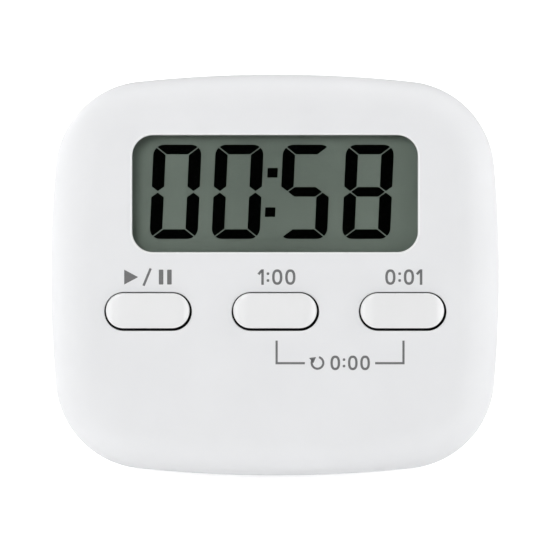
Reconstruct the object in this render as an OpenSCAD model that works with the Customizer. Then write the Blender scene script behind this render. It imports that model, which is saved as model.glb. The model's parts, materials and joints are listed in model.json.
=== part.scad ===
// Digital kitchen timer: a white case with a display window, three push buttons,
// one AAA cell behind a battery door, two magnets and a fold-out stand.
// Bench frame: X to the right, Y from the front face to the back face, Z up,
// with the middle of the front face at the origin. Each piece is built in the bench frame,
// and stood() leans it back on its open stand, so that Z = 0 is the table.

/* [Case] */
// Width of the case
body_w = 76; // [75:0.5:78]
// Height of the case
body_h = 68; // [67:0.5:70]
// Thickness of the case, from the front face to the back face
body_t = 17; // [17:0.25:18]
// Radius of the crowned top and bottom edges
crown_top_r = 220; // [200:5:260]
// Radius of the crowned left and right edges
crown_side_r = 206; // [190:2:240]
// Radius of the corners
corner_r = 15.6; // [14.8:0.2:16.4]
// How far the rounded front edge reaches in over the face
front_edge_in = 7; // [6.6:0.1:7.2]
// How deep the rounded front edge is
front_edge_deep = 6.5; // [6:0.1:6.8]
// Radius of the rounded back edge
rear_edge = 3.2; // [2.8:0.1:3.4]
// Thickness of the front and back walls
wall = 1.6; // [1.5:0.05:1.7]

/* [Display] */
// Width of the display window
window_w = 48.1; // [47:0.1:49.5]
// Height of the display window
window_h = 19.7; // [19:0.1:20.4]
// Height of the window's middle above the middle of the face
window_z = 13.7; // [13.5:0.1:14]
// Radius of the window's corners
window_r = 3.5; // [2:0.1:5]
// Height of a digit
digit_h = 15.9; // [14:0.1:16.5]
// Width of a digit
digit_w = 8.1; // [7.4:0.05:8.2]
// Slant of the digits in degrees
digit_slant = 2.6; // [0:0.1:5]

/* [Buttons] */
// Length of a button's cap
cap_l = 14.1; // [13.2:0.1:14.2]
// Height of a button's cap
cap_h = 5.9; // [5.2:0.1:6]
// Distance from one button to the next
button_pitch = 21.4; // [21.2:0.1:21.6]
// Height of the buttons' middles, below the middle of the face
button_z = -6; // [-6.4:0.1:-5.9]
// How far a cap stands proud of the face
cap_proud = 0.9; // [0.6:0.1:1.5]
// How far a button travels
press_travel = 0.9; // [0.5:0.1:0.9]

/* [Battery] */
// Diameter of the cell
cell_d = 10.5; // [10:0.1:10.5]
// Length of the cell with its positive cap
cell_l = 44.5; // [44:0.1:44.5]

/* [Stand] */
// How far the stand opens from the back, in degrees
stand_open = 40; // [36:1:46]
// Thickness of the stand
stand_t = 2.6; // [2.2:0.1:2.6]
// Height of the stand's hinge, against the middle of the face
stand_hinge_z = -1; // [-2:0.5:0]

/* [Hidden] */
$fn = 48;
eps = 0.05;

// Depths, measured from the front face to the back.
parting_y = body_t / 2;
rear_in = body_t - wall;
step_y = body_t - 4.6;
lip_y = parting_y - 1;
lens_y = [1.7, 2.5];
polariser_y = [2.7, 2.9];
front_glass_y = [2.9, 3.6];
seal_y = [3.6, 3.7];
segment_y = [3.61, 3.67];
rear_glass_y = [3.7, 4.4];
reflector_y = [4.4, 4.65];
frame_y = [4.7, 7.35];
board_y = [7.4, 8.4];
mat_y = [6.3, 7.3];
dome_top_y = 4.7;
pill_t = 0.7;
pill_top_y = board_y[0] - 0.08 - press_travel - pill_t;
plunger_y = 4.6;

// Insets from the outline of the case.
side_wall = 1.8;
lip_in = [1.9, 2.8];
groove = 0.25;
rim_in = 8.5;
stand_in = [3.8, 6.8];
channel_in = [3.5, 7.1];

// Display.
lens_half = 26.2;
lens_z = [1.7, 25.9];
glass_half = 26;
glass_z = [1.5, 25.4];
rear_glass_z = [3.15, 25.4];
zebra_z = [1.75, 2.85];
segment_v = 2.08;
segment_h = 1.61;
segment_gap = 0.21;
segment_round = 1.75;
digit_z = window_z + 0.35 - digit_h / 2;
digit_x = [-21.2, -10.72, 0.66, 11.3];
colon_x = -0.63;
colon_z = [10.62, 17.27];
colon_slant = 3.4;

// Buttons.
button_x = [-button_pitch, 0, button_pitch];
cap_gap = 0.3;
// A cap rests up and to the left in its hole, because the dome under it lifts it.
hole_shift = [0.07, -0.14];
flange_out = 1.15;
flange_y = [1.7, 2.5];
collar_gap = 0.3;
collar_wall = 0.6;
collar_y = 4.5;

// Circuit board and its screws.
board_screws_at = [[-10.7, -8.6], [10.7, -8.6], [-14, 28.6], [14, 28.6]];
board_outline = [[-27, -11.2], [27, -11.2], [27, 26.4], [18, 26.4],
                 [16.5, 30.2], [-16.5, 30.2], [-18, 26.4], [-27, 26.4]];

// Case screws.
case_screws_at = [[-30.3, 19], [30.3, 19], [-28.3, -15.5], [28.3, -15.5]];
boss_end_y = 11.4;
screw_seat_y = 13.4;

// Battery bay.
cell_r = cell_d / 2;
cell_y = body_t - 7.45;
cell_z = -18;
cell_x = -21.4;
bay_x = 24.2;
bay_z = [-23.5, -12.5];
bay_y = [4, 14.9];
bay_wall = 1;
contact_x = [23.75, 24.05];
contact_tail_y = [10, 12.5];

// Battery door, which swings on pins along its top edge.
door_t = 2;
door_x = 24.3;
door_hinge_y = body_t - door_t / 2;
door_hinge_z = -12.1;
door_low_z = -23.7;
door_gap = 0.3;
door_pin_r = 0.6;

// Magnets and buzzer.
magnet_x = 20;
magnet_z = 14;
magnet_r = 6;
magnet_t = 2;
buzzer_z = 14;
buzzer_r = 10;

// Stand, and the lean that it gives the case.
stand_y = body_t - stand_t / 2;
stand_low_z = -29.4;
pivot_r = 0.8;
pivot_gap = 0.05;
foot_out = stand_t / 2;
foot_down = stand_hinge_z - stand_low_z;
edge_y = body_t - rear_edge;
edge_z = body_h / 2 - rear_edge;
lean_s = stand_y - edge_y + foot_out * cos(stand_open) + foot_down * sin(stand_open);
lean_c = -stand_hinge_z - edge_z - foot_out * sin(stand_open) + foot_down * cos(stand_open);
lean = asin(rear_edge / norm([lean_s, lean_c])) - atan2(lean_c, lean_s);
table_z = edge_y * sin(lean) + edge_z * cos(lean) + rear_edge;
back_y = edge_y * cos(lean) + edge_z * sin(lean) + rear_edge;
front_y = front_edge_deep * cos(lean) - (body_h / 2 - front_edge_in) * sin(lean)
    - norm([front_edge_deep * cos(lean), front_edge_in * sin(lean)]);

// ---------- Outline of the case ----------

// Arcs of the outline: crowned edges that meet each corner arc smoothly.
top_c = [0, body_h / 2 - crown_top_r];
side_c = [body_w / 2 - crown_side_r, 0];
top_reach = crown_top_r - corner_r;
side_reach = crown_side_r - corner_r;
centres = side_c - top_c;
along = (top_reach * top_reach - side_reach * side_reach + centres * centres) / (2 * norm(centres));
across = sqrt(top_reach * top_reach - along * along);
towards = centres / norm(centres);
corner_c = top_c + along * towards + across * [towards.y, -towards.x];
top_angle = atan2(corner_c.y - top_c.y, corner_c.x - top_c.x);
side_angle = atan2(corner_c.y - side_c.y, corner_c.x - side_c.x);

function arc(centre, r, from, to, steps, last = 0) =
    [for (i = [0 : steps - 1 + last]) centre + r * [cos(from + (to - from) * i / steps),
                                                    sin(from + (to - from) * i / steps)]];

// One quarter of the outline, moved in by d, from the right edge to the top edge.
function quarter(d) = concat(
    arc(side_c, crown_side_r - d, 0, side_angle, 3),
    arc(corner_c, corner_r - d, side_angle, top_angle, 11),
    arc(top_c, crown_top_r - d, top_angle, 90, 4, 1));

function four_fold(q) = let (m = len(q) - 1) concat(
    [for (i = [0 : m - 1]) q[i]],
    [for (i = [m : -1 : 1]) [-q[i].x, q[i].y]],
    [for (i = [0 : m - 1]) -q[i]],
    [for (i = [m : -1 : 1]) [q[i].x, -q[i].y]]);

function case_outline(d) = four_fold(quarter(d));

// A rectangle with round corners, or a slot with round ends, about the origin.
function rounded(w, h, r) = four_fold(concat(
    [[w / 2, 0]], arc([w / 2 - r, h / 2 - r], r, 0, 90, 8, 1), [[0, h / 2]]));

// A button's outline, moved in by d. Its ends are half circles.
function button_outline(d) = let (r = cap_h / 2 - d) four_fold(concat(
    arc([(cap_l - cap_h) / 2, 0], r, 0, 90, 10, 1), [[0, r]]));

// ---------- Shapes in the bench frame ----------

module slab(y0, y1) {
    translate([0, y1, 0]) rotate([90, 0, 0]) linear_extrude(y1 - y0) children();
}

module block(low, high) {
    translate(low) cube(high - low);
}

// Round bar along Y.
module peg(x, z, r, y0, y1) {
    translate([x, y0, z]) rotate([-90, 0, 0]) cylinder(r = r, h = y1 - y0);
}

// Round bar along X.
module axle(y, z, r, x0, x1) {
    translate([x0, y, z]) rotate([0, 90, 0]) cylinder(r = r, h = x1 - x0);
}

// A closed skin over outlines that lie one behind another.
// Rings run from the first cap to the last, so a ring may lie inside the one before it.
module skin(outlines, depths) {
    n = len(outlines[0]);
    rings = len(outlines);
    points = [for (k = [0 : rings - 1]) for (p = outlines[k]) [p.x, depths[k], p.y]];
    sides = [for (k = [0 : rings - 2]) for (i = [0 : n - 1])
        [k * n + i, k * n + (i + 1) % n, (k + 1) * n + (i + 1) % n, (k + 1) * n + i]];
    first_cap = [[for (i = [n - 1 : -1 : 0]) i]];
    last_cap = [[for (i = [0 : n - 1]) (rings - 1) * n + i]];
    polyhedron(points, concat(first_cap, sides, last_cap));
}

// Each entry of a profile is [depth, inset].
module case_skin(profile) {
    skin([for (p = profile) case_outline(p[1])], [for (p = profile) p[0]]);
}

// Round tube along a route, as one skin. The route never runs along X.
module tube(route, r, sides = 8) {
    last = len(route) - 1;
    function heading(i) = let (d = route[min(i + 1, last)] - route[max(i - 1, 0)]) d / norm(d);
    function side(i) = let (c = cross(heading(i), [1, 0, 0])) c / norm(c);
    points = [for (i = [0 : last]) let (u = side(i), v = cross(heading(i), u))
        for (k = [0 : sides - 1]) route[i] + r * (cos(360 * k / sides) * u + sin(360 * k / sides) * v)];
    walls = [for (i = [0 : last - 1]) for (k = [0 : sides - 1])
        [i * sides + k, (i + 1) * sides + k, (i + 1) * sides + (k + 1) % sides, i * sides + (k + 1) % sides]];
    ends = [[for (k = [0 : sides - 1]) k], [for (k = [sides - 1 : -1 : 0]) last * sides + k]];
    polyhedron(points, concat(walls, ends));
}

// A smooth route through points, with extra points between each pair.
function blend(a, b, c, d, t) = 0.5 * (2 * b + (c - a) * t + (2 * a - 5 * b + 4 * c - d) * t * t
    + (3 * b - a - 3 * c + d) * t * t * t);
function smooth(p, steps = 4) = let (last = len(p) - 1) concat(
    [for (i = [0 : last - 1]) for (s = [0 : steps - 1])
        blend(p[max(i - 1, 0)], p[i], p[i + 1], p[min(i + 2, last)], s / steps)], [p[last]]);

// Leans a piece back on its open stand, with the table at Z = 0.
module stood() {
    translate([0, -(front_y + back_y) / 2, table_z]) rotate([-lean, 0, 0]) children();
}

// ---------- Case ----------

module boss(at, r, y0, y1) {
    peg(at.x, at.y, r, y0, y1);
}

module front_case() {
    outside = [for (t = [0 : 15 : 90])
        [front_edge_deep * (1 - cos(t)), front_edge_in * (1 - sin(t))]];
    inside = [for (t = [90 : -18 : 0])
        [front_edge_deep - (front_edge_deep - wall) * cos(t), side_wall + 5.6 * (1 - sin(t))]];
    parting = [[parting_y - groove, 0], [parting_y, groove], [parting_y, side_wall]];
    color("white") stood() difference() {
        union() {
            case_skin(concat(outside, parting, inside));
            for (at = case_screws_at) boss(at, 2.2, wall - eps, boss_end_y);
            for (at = board_screws_at) boss(at, 1.7, wall - eps, board_y[0]);
            lens_rim();
            for (x = button_x) button_collar(x);
        }
        translate([0, 0, window_z]) slab(-1, wall + 1) polygon(rounded(window_w, window_h, window_r));
        for (x = button_x) translate([x + hole_shift.x, 0, button_z + hole_shift.y])
            slab(-1, wall + 1) polygon(button_outline(-cap_gap));
        for (at = case_screws_at) boss(at, 1.05, 4.6, boss_end_y + 1);
        for (at = board_screws_at) boss(at, 0.85, 3, board_y[0] + 1);
    }
}

// Low wall that locates the lens and the display.
module lens_rim() {
    mid = (lens_z[0] + lens_z[1]) / 2;
    high = lens_z[1] - lens_z[0];
    translate([0, 0, mid]) slab(wall - eps, 4.4) difference() {
        square([2 * lens_half + 2.4, high + 2.4], center = true);
        square([2 * lens_half + 0.8, high + 0.8], center = true);
    }
}

// Guide around a button's flange.
module button_collar(x) {
    gap = flange_out + collar_gap;
    translate([x, 0, button_z]) slab(wall - eps, collar_y) difference() {
        polygon(button_outline(-gap - collar_wall));
        polygon(button_outline(-gap));
    }
}

module rear_cover() {
    lip = [[rear_in, rim_in], [step_y, rim_in], [step_y, lip_in[1]], [lip_y, lip_in[1]],
           [lip_y, lip_in[0]], [parting_y, lip_in[0]]];
    parting = [[parting_y, groove], [parting_y + groove, 0]];
    outside = [for (t = [0 : 15 : 90])
        [body_t - rear_edge + rear_edge * sin(t), rear_edge * (1 - cos(t))]];
    color("whitesmoke") stood() difference() {
        union() {
            case_skin(concat(lip, parting, outside));
            block([-bay_x - 1.2, bay_y[0] - bay_wall, bay_z[0] - 0.9],
                  [bay_x + 1.2, rear_in + eps, bay_z[1] + bay_wall]);
            block([-bay_x - 1.2, 13.9, bay_z[1]], [bay_x + 1.2, rear_in + eps, -9.8]);
            for (at = case_screws_at) boss(at, 2.6, boss_end_y + 0.1, rear_in + eps);
            for (s = [-1, 1]) boss([s * magnet_x, magnet_z], magnet_r + 1.2, 13.9, rear_in + eps);
            for (s = [-1, 1]) pivot_block(s);
            buzzer_seat();
        }
        block([-bay_x, bay_y[0], bay_z[0]], [bay_x, body_t, bay_z[1]]);
        door_opening();
        stand_channel();
        axle(stand_y, stand_hinge_z, pivot_r + pivot_gap, -31.5, -29);
        axle(stand_y, stand_hinge_z, pivot_r + pivot_gap, 29, 31.5);
        for (at = case_screws_at) boss(at, 1.2, 11, screw_seat_y + 1);
        for (at = case_screws_at) boss(at, 1.75, screw_seat_y, body_t + 1);
        for (s = [-1, 1]) boss([s * magnet_x, magnet_z], magnet_r + 0.1,
                               body_t - magnet_t - eps, body_t + 1);
        sound_holes();
        for (s = [-1, 1]) block([min(s * 23.6, s * 24.2), contact_tail_y[0] - 0.2, bay_z[1] - 1],
                                [max(s * 23.6, s * 24.2), contact_tail_y[1] + 0.2, -9]);
    }
}

// Opening that the battery door closes, with a bearing hole at each end of its hinge.
module door_opening() {
    high = door_hinge_z + door_t / 2 - door_low_z + 2 * door_gap;
    mid = (door_hinge_z + door_t / 2 + door_low_z) / 2;
    half = door_x + door_gap;
    translate([0, 0, mid]) slab(bay_y[1], body_t + 1) polygon(rounded(2 * half, high, 1.2));
    hole_r = door_pin_r + pivot_gap;
    axle(door_hinge_y, door_hinge_z, hole_r, -half - 0.8, half + 0.8);
}

// Groove that the folded stand lies in.
module stand_channel() {
    slab(step_y + 1.5, body_t + 1) intersection() {
        difference() {
            polygon(case_outline(channel_in[0]));
            polygon(case_outline(channel_in[1]));
        }
        translate([-50, -50]) square([100, 50 + stand_hinge_z + stand_t / 2 + 0.5]);
    }
}

// Thickening behind the channel's wall, where the stand's pivot turns.
module pivot_block(s) {
    block([min(s * 28, s * 29.8), step_y + 0.5, stand_hinge_z - 2.2],
          [max(s * 28, s * 29.8), rear_in + eps, stand_hinge_z + 2.2]);
}

// Ring that holds the buzzer's disc off the back wall.
module buzzer_seat() {
    translate([0, 0, buzzer_z]) {
        ring(buzzer_r + 1.2, buzzer_r + 0.3, 13.6, rear_in + eps);
        ring(buzzer_r + 0.5, buzzer_r - 1.4, 14.5, rear_in + eps);
    }
}

module ring(outer, inner, y0, y1) {
    difference() {
        peg(0, 0, outer, y0, y1);
        peg(0, 0, inner, y0 - 1, y1 + 1);
    }
}

module sound_holes() {
    hole_r = 0.8;
    boss([0, buzzer_z], hole_r, rear_in - 1, body_t + 1);
    for (a = [0 : 60 : 300])
        boss([4 * cos(a), buzzer_z + 4 * sin(a)], hole_r, rear_in - 1, body_t + 1);
}

module case_screws() {
    color("silver") stood() for (at = case_screws_at) difference() {
        union() {
            boss(at, 1, 5.2, screw_seat_y + eps);
            boss(at, 1.6, screw_seat_y, screw_seat_y + 1.2);
        }
        cross_recess(at, screw_seat_y + 0.6, screw_seat_y + 2);
    }
}

module cross_recess(at, y0, y1) {
    block([at.x - 1, y0, at.y - 0.25], [at.x + 1, y1, at.y + 0.25]);
    block([at.x - 0.25, y0, at.y - 1], [at.x + 0.25, y1, at.y + 1]);
}

// ---------- Display ----------

module lens_tape() {
    mid = (lens_z[0] + lens_z[1]) / 2;
    color("black") stood() slab(wall, lens_y[0]) difference() {
        translate([0, mid]) polygon(rounded(2 * lens_half - 1.4, lens_z[1] - lens_z[0] - 1.4, 3));
        translate([0, window_z]) polygon(rounded(window_w + 0.4, window_h + 0.4, window_r));
    }
}

module display_lens() {
    mid = (lens_z[0] + lens_z[1]) / 2;
    color("lightcyan", 0.4) stood() translate([0, 0, mid]) slab(lens_y[0], lens_y[1])
        polygon(rounded(2 * lens_half, lens_z[1] - lens_z[0], 3));
}

// Flat rectangle, half as wide as it says, from one height to another.
module pane(half, zs, ys) {
    block([-half, ys[0], zs[0]], [half, ys[1], zs[1]]);
}

module lcd_polariser() {
    color("darkseagreen", 0.5) stood() pane(25.8, [3.3, 25.2], polariser_y);
}

module lcd_front_glass() {
    color("honeydew", 0.5) stood() pane(glass_half, glass_z, front_glass_y);
}

module lcd_seal() {
    color("dimgray") stood() difference() {
        pane(glass_half, rear_glass_z, seal_y);
        pane(25.2, [3.75, 24.7], [3, 4]);
    }
}

module lcd_rear_glass() {
    color("honeydew", 0.5) stood() pane(glass_half, rear_glass_z, rear_glass_y);
}

module lcd_reflector() {
    color("darkseagreen") stood() pane(25.8, [3.35, 25.2], reflector_y);
}

module lcd_frame() {
    color("white") stood() difference() {
        pane(26.2, [1, 25.6], frame_y);
        pane(25, [4.2, 24.4], [4, 8]);
        pane(23.3, [zebra_z[0] - 0.2, zebra_z[1] + 0.2], [4, 8]);
    }
}

module zebra_strip() {
    color("pink") stood() pane(23, zebra_z, [front_glass_y[1], frame_y[1]]);
}

// The seven segments of a digit before its slant, with their gaps. Letters run a to g.
function upright(mirror_x, mirror_y, points) =
    [for (p = points) [mirror_x ? digit_w - p.x : p.x, mirror_y ? digit_h - p.y : p.y]];

function segment_points(name) = let (
    w = digit_w, h = digit_h, v = segment_v, t = segment_h, slope = atan2(t, v),
    du = segment_gap / 2 / sin(slope), dv = segment_gap / 2 / cos(slope),
    top = [[du, h], [w - du, h], [w - v - du, h - t], [v + du, h - t]],
    left = [[0, h - dv], [v, h - t - dv], [v, h / 2 + 0.9], [v / 2, h / 2 + 0.14], [0, h / 2 + 0.9]],
    mid = [[v / 2 + 0.16, h / 2], [v + 0.22, h / 2 + t / 2], [w - v - 0.22, h / 2 + t / 2],
           [w - v / 2 - 0.16, h / 2], [w - v - 0.22, h / 2 - t / 2], [v + 0.22, h / 2 - t / 2]])
    name == "a" ? top :
    name == "b" ? upright(true, false, left) :
    name == "c" ? upright(true, true, left) :
    name == "d" ? upright(false, true, top) :
    name == "e" ? upright(false, true, left) :
    name == "f" ? left : mid;

// Leans points drawn from a digit's bottom left corner to the right.
function leaned(points) = [for (p = points) [p.x + tan(digit_slant) * p.y, p.y]];

module digit(x, names) {
    middle = [digit_w / 2, digit_h / 2];
    limits = leaned([for (p = rounded(digit_w, digit_h, segment_round)) p + middle]);
    for (name = names) translate([x, digit_z]) intersection() {
        polygon(leaned(segment_points(name)));
        polygon(limits);
    }
}

module lcd_segments() {
    color("black") stood() slab(segment_y[0], segment_y[1]) {
        digit(digit_x[0], "abcdef");
        digit(digit_x[1], "abcdef");
        digit(digit_x[2], "acdfg");
        digit(digit_x[3], "abcdefg");
        for (z = colon_z) translate([colon_x + tan(colon_slant) * (z - window_z), z])
            polygon(leaned([[-0.86, -0.8], [0.86, -0.8], [0.86, 0.8], [-0.86, 0.8]]));
    }
}

// ---------- Circuit board ----------

module circuit_board() {
    color("darkgreen") stood() difference() {
        slab(board_y[0], board_y[1]) polygon(board_outline);
        for (at = board_screws_at) boss(at, 1, board_y[0] - 1, board_y[1] + 1);
    }
}

module board_screws() {
    color("silver") stood() for (at = board_screws_at) difference() {
        union() {
            boss(at, 0.8, 3.4, board_y[1] + eps);
            boss(at, 1.6, board_y[1], board_y[1] + 1.1);
        }
        cross_recess(at, board_y[1] + 0.5, board_y[1] + 2);
    }
}

// Two half discs for each button, which its carbon pill bridges.
module contact_pads() {
    color("goldenrod") stood() for (x = button_x) difference() {
        boss([x, button_z], 1.8, board_y[0] - 0.05, board_y[0]);
        block([x - 0.15, 7, button_z - 2], [x + 0.15, 8, button_z + 2]);
    }
}

module chip_blob() {
    blob_r = 5.5;
    high = 1.5;
    dome = [for (t = [90 : -15 : 0]) [blob_r * sin(t), high * cos(t)]];
    color("black") stood() translate([-4, board_y[1], 10]) rotate([-90, 0, 0])
        rotate_extrude() polygon(concat([[0, 0]], dome));
}

module crystal_can() {
    color("gainsboro") stood() axle(board_y[1] + 1.05, 21.5, 1, -3, 3);
}

module chip_capacitors() {
    color("tan") stood() for (at = [[-15, 18], [-15, 14], [-15, 4], [12, 3]])
        block([at.x - 1, board_y[1], at.y - 0.6], [at.x + 1, board_y[1] + 0.9, at.y + 0.6]);
}

module boost_coil() {
    color("darkslategray") stood() {
        boss([17, 10], 2.6, board_y[1], board_y[1] + 0.8);
        boss([17, 10], 1.9, board_y[1] + 0.8 - eps, board_y[1] + 2.8);
        boss([17, 10], 2.6, board_y[1] + 2.8 - eps, board_y[1] + 3.6);
    }
}

module transistor() {
    body_y = board_y[1] + 0.1;
    color("dimgray") stood() {
        block([8, body_y, 13.3], [10.9, body_y + 1, 14.7]);
        for (x = [8.3, 10.1]) block([x, board_y[1], 12.7], [x + 0.5, body_y + 0.3, 13.4]);
        block([9.2, board_y[1], 14.6], [9.7, body_y + 0.3, 15.3]);
    }
}

// Where each lead meets the board.
red_buzzer_end = [11, 19.5];
black_buzzer_end = [-11, 19.5];
red_battery_end = [19.3, -3.4];
black_battery_end = [-19.3, -3.4];
solder_top_y = board_y[1] + 0.5;

module solder_joints() {
    color("silver") stood()
        for (at = [red_buzzer_end, black_buzzer_end, red_battery_end, black_battery_end])
            translate([at.x, board_y[1], at.y]) rotate([-90, 0, 0]) cylinder(r1 = 1.1, r2 = 0.6, h = 0.5);
}

lead_r = 0.5;
buzzer_route = [[4, 13.4, 15], [5.5, 12.6, 16.2], [8, 11.6, 18], [10.4, 10.6, 19.2]];
rim_route = [[-8.6, 13.6, 15.5], [-9, 12.6, 16.4], [-10, 11.4, 18.2], [-10.8, 10.4, 19.2]];
battery_route = [[23, 11.3, -9.9], [22.2, 11.6, -8.6], [20.8, 11.2, -6], [19.6, 10.4, -4]];

// A lead's route, which ends straight and square on its solder joint.
function lead(route, at) = concat(
    smooth(concat(route, [[at.x, solder_top_y + 0.6, at.y]])), [[at.x, solder_top_y, at.y]]);
function mirrored(route) = [for (p = route) [-p.x, p.y, p.z]];

module buzzer_lead_red() {
    color("red") stood() tube(lead(buzzer_route, red_buzzer_end), lead_r);
}

module buzzer_lead_black() {
    color("black") stood() tube(lead(rim_route, black_buzzer_end), lead_r);
}

module battery_lead_red() {
    color("red") stood() tube(lead(battery_route, red_battery_end), lead_r);
}

module battery_lead_black() {
    color("black") stood() tube(lead(mirrored(battery_route), black_battery_end), lead_r);
}

// ---------- Buttons and keypad ----------

module push_button(x) {
    pillow = 0.8;
    top = [for (t = [0 : 18 : 90]) [-cap_proud + pillow * (1 - cos(t)), 1.7 * (1 - sin(t))]];
    profile = concat(top, [[flange_y[0], 0], [flange_y[0], -flange_out], [flange_y[1], -flange_out]]);
    color("white") stood() translate([x, 0, button_z]) {
        skin([for (p = profile) button_outline(p[1])], [for (p = profile) p[0]]);
        peg(0, 0, 1.6, flange_y[1] - eps, plunger_y);
    }
}

module carbon_pill(x) {
    color("black") stood() boss([x, button_z], 1.3, pill_top_y, pill_top_y + pill_t);
}

// Hollow cone with a thick crown, which gives way when its button is pressed.
module rubber_dome(x) {
    high = mat_y[0] - dome_top_y;
    roof = pill_top_y - 0.02 - dome_top_y;
    color("lightgray") stood() translate([x, mat_y[0], button_z]) rotate([90, 0, 0]) rotate_extrude()
        polygon([[2.4, 0], [3.1, 0], [1.9, high], [0, high], [0, high - roof], [1.5, high - roof]]);
}

module start_button() { push_button(button_x[0]); }
module minute_button() { push_button(button_x[1]); }
module second_button() { push_button(button_x[2]); }
module start_pill() { carbon_pill(button_x[0]); }
module minute_pill() { carbon_pill(button_x[1]); }
module second_pill() { carbon_pill(button_x[2]); }
module start_dome() { rubber_dome(button_x[0]); }
module minute_dome() { rubber_dome(button_x[1]); }
module second_dome() { rubber_dome(button_x[2]); }

// Sheet that joins the three domes.
module keypad_mat() {
    color("lightgray") stood() difference() {
        pane(26.4, [-10.8, -1.6], mat_y);
        for (x = button_x) boss([x, button_z], 2.2, mat_y[0] - 1, mat_y[1] + 1);
        for (at = [board_screws_at[0], board_screws_at[1]]) boss(at, 2, mat_y[0] - 1, mat_y[1] + 1);
    }
}

// ---------- Magnets and buzzer ----------

module magnets() {
    color("silver") stood()
        for (s = [-1, 1]) boss([s * magnet_x, magnet_z], magnet_r, body_t - magnet_t, body_t);
}

module piezo_disc() {
    color("gold") stood() boss([0, buzzer_z], buzzer_r, 14.3, 14.5);
}

module piezo_ceramic() {
    color("ivory") stood() boss([0, buzzer_z], 7, 14.1, 14.3);
}

// ---------- Battery ----------

cap_high = 1;
can_end_x = cell_x + cell_l - cap_high;

module battery_can() {
    color("steelblue") stood() axle(cell_y, cell_z, cell_r, cell_x, can_end_x);
}

module battery_positive_cap() {
    color("silver") stood() axle(cell_y, cell_z, 1.9, can_end_x, can_end_x + cap_high);
}

// Plate at one end of the bay, with a tail that reaches past the bay's wall.
module contact_plate(s) {
    low = min(s * contact_x[0], s * contact_x[1]);
    high = max(s * contact_x[0], s * contact_x[1]);
    block([low, 5.5, -22.5], [high, 13.5, -13]);
    block([low, contact_tail_y[0], -13 - eps], [high, contact_tail_y[1], -9.2]);
}

module positive_contact() {
    color("silver") stood() {
        contact_plate(1);
        axle(cell_y, cell_z, 1.6, 23.15, contact_x[0] + eps);
    }
}

module negative_plate() {
    color("silver") stood() contact_plate(-1);
}

module negative_spring() {
    wire_r = 0.3;
    turns = 2.5;
    steps = 18;
    start_x = -contact_x[0] + wire_r + 0.02;
    rise = cell_x - contact_x[0] * -1 - 2 * wire_r - 0.04;
    route = [for (i = [0 : turns * steps]) let (a = 360 * i / steps, f = i / (turns * steps), r = 3.6 - 1.5 * f)
        [start_x + rise * f, cell_y + r * cos(a), cell_z + r * sin(a)]];
    color("silver") stood() tube(route, wire_r);
}

module battery_door() {
    high = door_hinge_z - door_low_z;
    color("whitesmoke") stood() difference() {
        union() {
            translate([0, 0, door_low_z + high / 2 + 0.5]) slab(body_t - door_t, body_t)
                intersection() {
                    polygon(rounded(2 * door_x, high + 1, 1));
                    translate([-30, -30]) square([60, 30 + high / 2 - 0.5]);
                }
            axle(door_hinge_y, door_hinge_z, door_t / 2, -door_x, door_x);
            axle(door_hinge_y, door_hinge_z, door_pin_r, -door_x - 0.9, door_x + 0.9);
            block([-4, body_t - 1.3, door_low_z - 0.2], [4, body_t - 0.6, door_low_z + eps]);
        }
        translate([0, body_t + 10.9, -20]) sphere(r = 12);
    }
}

// ---------- Stand ----------

module folded_stand() {
    slab(body_t - stand_t, body_t) intersection() {
        difference() {
            polygon(case_outline(stand_in[0]));
            polygon(case_outline(stand_in[1]));
        }
        translate([-50, stand_low_z]) square([100, foot_down]);
    }
    outer = body_w / 2 - stand_in[0];
    inner = body_w / 2 - stand_in[1];
    for (s = [-1, 1]) {
        axle(stand_y, stand_hinge_z, stand_t / 2, min(s * inner, s * outer), max(s * inner, s * outer));
        axle(stand_y, stand_hinge_z, pivot_r, min(s * 29.3, s * (inner + eps)), max(s * 29.3, s * (inner + eps)));
    }
}

// The open stand, with its foot cut flat by the table.
module stand() {
    color("white") difference() {
        stood() translate([0, stand_y, stand_hinge_z]) rotate([stand_open, 0, 0])
            translate([0, -stand_y, -stand_hinge_z]) folded_stand();
        block([-50, -60, -20], [50, 60, 0]);
    }
}

front_case();
lens_tape();
display_lens();
lcd_polariser();
lcd_front_glass();
lcd_segments();
lcd_seal();
lcd_rear_glass();
lcd_reflector();
lcd_frame();
zebra_strip();
circuit_board();
contact_pads();
chip_blob();
crystal_can();
chip_capacitors();
boost_coil();
transistor();
solder_joints();
board_screws();
keypad_mat();
start_button();
start_pill();
start_dome();
minute_button();
minute_pill();
minute_dome();
second_button();
second_pill();
second_dome();
rear_cover();
case_screws();
magnets();
piezo_disc();
piezo_ceramic();
buzzer_lead_red();
buzzer_lead_black();
battery_lead_red();
battery_lead_black();
battery_can();
battery_positive_cap();
positive_contact();
negative_plate();
negative_spring();
battery_door();
stand();
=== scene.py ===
import json
import math

import bmesh
import bpy
from mathutils import Matrix, Vector


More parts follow.
